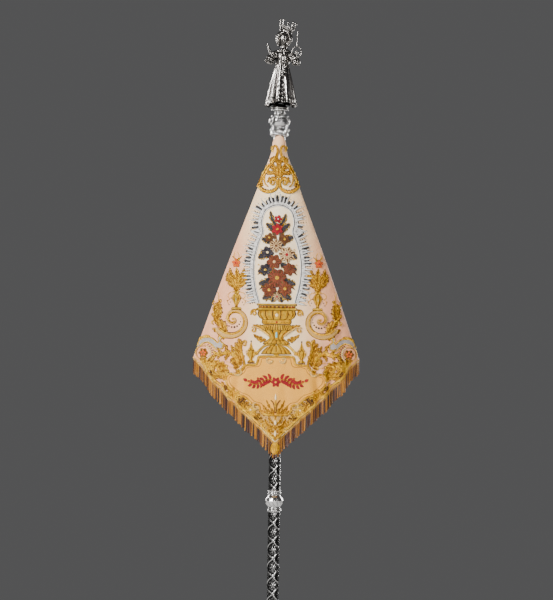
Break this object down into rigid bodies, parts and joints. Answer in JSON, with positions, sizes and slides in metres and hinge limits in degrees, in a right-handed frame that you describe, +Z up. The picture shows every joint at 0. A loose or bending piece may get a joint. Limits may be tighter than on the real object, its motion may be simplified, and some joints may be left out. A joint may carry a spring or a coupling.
{
  "type": "church banner on a pole",
  "caption": "Embroidered satin banner with a bullion fringe, hung by one corner from a chased silver pole that carries an urn finial and a crowned statuette.",
  "frame": {"origin": "centre of the pole's foot, on its flat end", "axes": "+Z up the pole, the banner's face towards -Y"},
  "size_m": [0.4943, 0.1725, 2.3151],
  "materials": {
    "satin": "woven satin, pale pink to cream",
    "panel_satin": "peach gold satin",
    "gold_thread": "raised gold thread embroidery",
    "silver_thread": "silver thread embroidery",
    "floral_silk": "coloured silk embroidery",
    "fringe_thread": "gold bullion fringe",
    "silver": "polished and chased silver plate"
  },
  "bodies": {
    "root": {"banner_cloth": "satin", "cartouche_panel": "panel_satin", "ray_frame": "silver_thread", "flower_bouquet": "floral_silk", "bowl_pedestal": "gold_thread", "shell_boss": "gold_thread", "urn_right": "gold_thread", "urn_left": "gold_thread", "scroll_right": "gold_thread", "scroll_left": "gold_thread", "acanthus_right": "gold_thread", "acanthus_left": "gold_thread", "corner_scroll_right": "gold_thread", "corner_scroll_left": "gold_thread", "swag_right": "gold_thread", "swag_left": "gold_thread", "tip_palmette": "gold_thread", "crest": "gold_thread", "fringe_front_right": "fringe_thread", "fringe_front_left": "fringe_thread", "fringe_back_right": "fringe_thread", "fringe_back_left": "fringe_thread", "ferrule": "silver", "knot_1": "silver", "knot_2": "silver", "shaft_1": "silver", "shaft_2": "silver", "shaft_3": "silver", "finial_socket": "silver", "finial_urn": "silver", "finial_column": "silver", "handle_right": "silver", "handle_left": "silver", "figure_base": "silver", "figure_body": "silver", "figure_head": "silver", "figure_crown": "silver", "figure_staff": "silver"}
  },
  "joints": []
}
